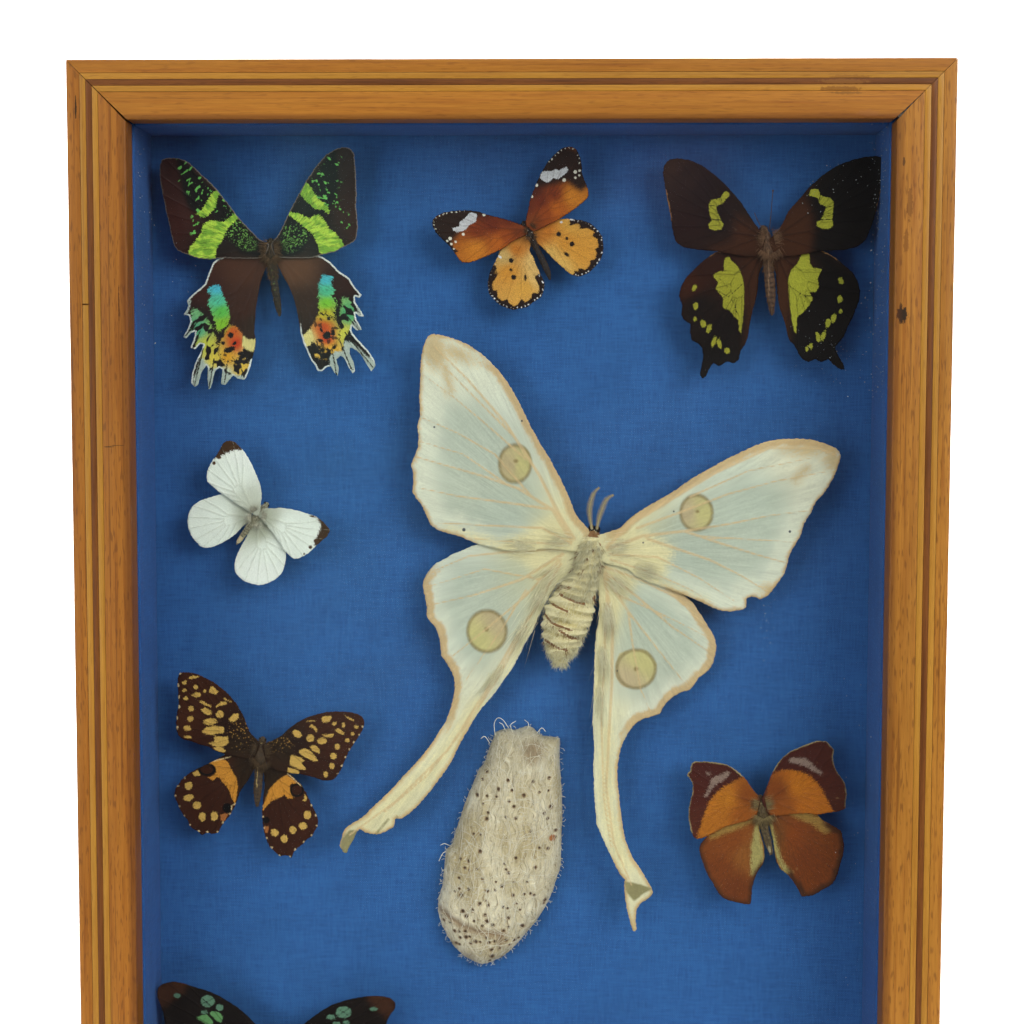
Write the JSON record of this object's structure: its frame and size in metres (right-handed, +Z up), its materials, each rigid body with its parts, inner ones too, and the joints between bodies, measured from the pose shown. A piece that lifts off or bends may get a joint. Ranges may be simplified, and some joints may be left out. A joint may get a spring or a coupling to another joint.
{
  "type": "framed butterfly specimen",
  "caption": "Inlaid wooden shadow-box frame with a glass front and blue cloth lining, holding pinned butterflies, moths and a silk cocoon.",
  "frame": {"origin": "middle of the box's base, on the surface the bottom rail stands on", "axes": "+Z up, +X to the viewer's right, +Y from the glass towards the back"},
  "size_m": [0.32, 0.052, 0.44],
  "materials": {
    "frame_wood": "satin oiled",
    "banding": "satin oiled",
    "glass": "clear",
    "blue_cloth": "plain woven cloth",
    "board": "matte",
    "hardboard": "matte",
    "steel": "zinc plated",
    "cocoon": "fibrous silk",
    "sunset_moth_wings": "dry scaled wing",
    "sunset_moth_body": "dry hairy body",
    "plain_tiger_wings": "dry scaled wing",
    "plain_tiger_body": "dry hairy body",
    "green_patch_swallowtail_wings": "dry scaled wing",
    "green_patch_swallowtail_body": "dry hairy body",
    "comet_moth_wings": "dry scaled wing",
    "comet_moth_body": "dry hairy body",
    "white_butterfly_wings": "dry scaled wing",
    "white_butterfly_body": "dry hairy body",
    "citrus_swallowtail_wings": "dry scaled wing",
    "citrus_swallowtail_body": "dry hairy body",
    "orange_anteva_wings": "dry scaled wing",
    "orange_anteva_body": "dry hairy body",
    "dark_swallowtail_wings": "dry scaled wing",
    "dark_swallowtail_body": "dry hairy body"
  },
  "bodies": {
    "root": {"frame_top_rail": "frame_wood", "frame_bottom_rail": "frame_wood", "frame_left_stile": "frame_wood", "frame_right_stile": "frame_wood", "inlay_top": "banding", "inlay_bottom": "banding", "inlay_left": "banding", "inlay_right": "banding", "glass_pane": "glass", "lining_left": "blue_cloth", "lining_right": "blue_cloth", "lining_top": "blue_cloth", "lining_bottom": "blue_cloth", "backing_cloth": "blue_cloth", "backing_board": "board", "back_panel": "hardboard", "sawtooth_hanger": "steel", "hanger_nail_left": "steel", "hanger_nail_right": "steel", "sunset_moth_body": "sunset_moth_body", "sunset_moth_forewing_left": "sunset_moth_wings", "sunset_moth_forewing_right": "sunset_moth_wings", "sunset_moth_hindwing_left": "sunset_moth_wings", "sunset_moth_hindwing_right": "sunset_moth_wings", "plain_tiger_body": "plain_tiger_body", "plain_tiger_forewing_left": "plain_tiger_wings", "plain_tiger_forewing_right": "plain_tiger_wings", "plain_tiger_hindwing_left": "plain_tiger_wings", "plain_tiger_hindwing_right": "plain_tiger_wings", "green_patch_swallowtail_body": "green_patch_swallowtail_body", "green_patch_swallowtail_forewing_left": "green_patch_swallowtail_wings", "green_patch_swallowtail_forewing_right": "green_patch_swallowtail_wings", "green_patch_swallowtail_hindwing_left": "green_patch_swallowtail_wings", "green_patch_swallowtail_hindwing_right": "green_patch_swallowtail_wings", "comet_moth_body": "comet_moth_body", "comet_moth_forewing_left": "comet_moth_wings", "comet_moth_forewing_right": "comet_moth_wings", "comet_moth_hindwing_left": "comet_moth_wings", "comet_moth_hindwing_right": "comet_moth_wings", "white_butterfly_body": "white_butterfly_body", "white_butterfly_forewing_left": "white_butterfly_wings", "white_butterfly_forewing_right": "white_butterfly_wings", "white_butterfly_hindwing_left": "white_butterfly_wings", "white_butterfly_hindwing_right": "white_butterfly_wings", "citrus_swallowtail_body": "citrus_swallowtail_body", "citrus_swallowtail_forewing_left": "citrus_swallowtail_wings", "citrus_swallowtail_forewing_right": "citrus_swallowtail_wings", "citrus_swallowtail_hindwing_left": "citrus_swallowtail_wings", "citrus_swallowtail_hindwing_right": "citrus_swallowtail_wings", "orange_anteva_body": "orange_anteva_body", "orange_anteva_forewing_left": "orange_anteva_wings", "orange_anteva_forewing_right": "orange_anteva_wings", "orange_anteva_hindwing_left": "orange_anteva_wings", "orange_anteva_hindwing_right": "orange_anteva_wings", "dark_swallowtail_body": "dark_swallowtail_body", "dark_swallowtail_forewing_left": "dark_swallowtail_wings", "dark_swallowtail_forewing_right": "dark_swallowtail_wings", "dark_swallowtail_hindwing_left": "dark_swallowtail_wings", "dark_swallowtail_hindwing_right": "dark_swallowtail_wings", "silk_cocoon": "cocoon"}
  },
  "joints": []
}
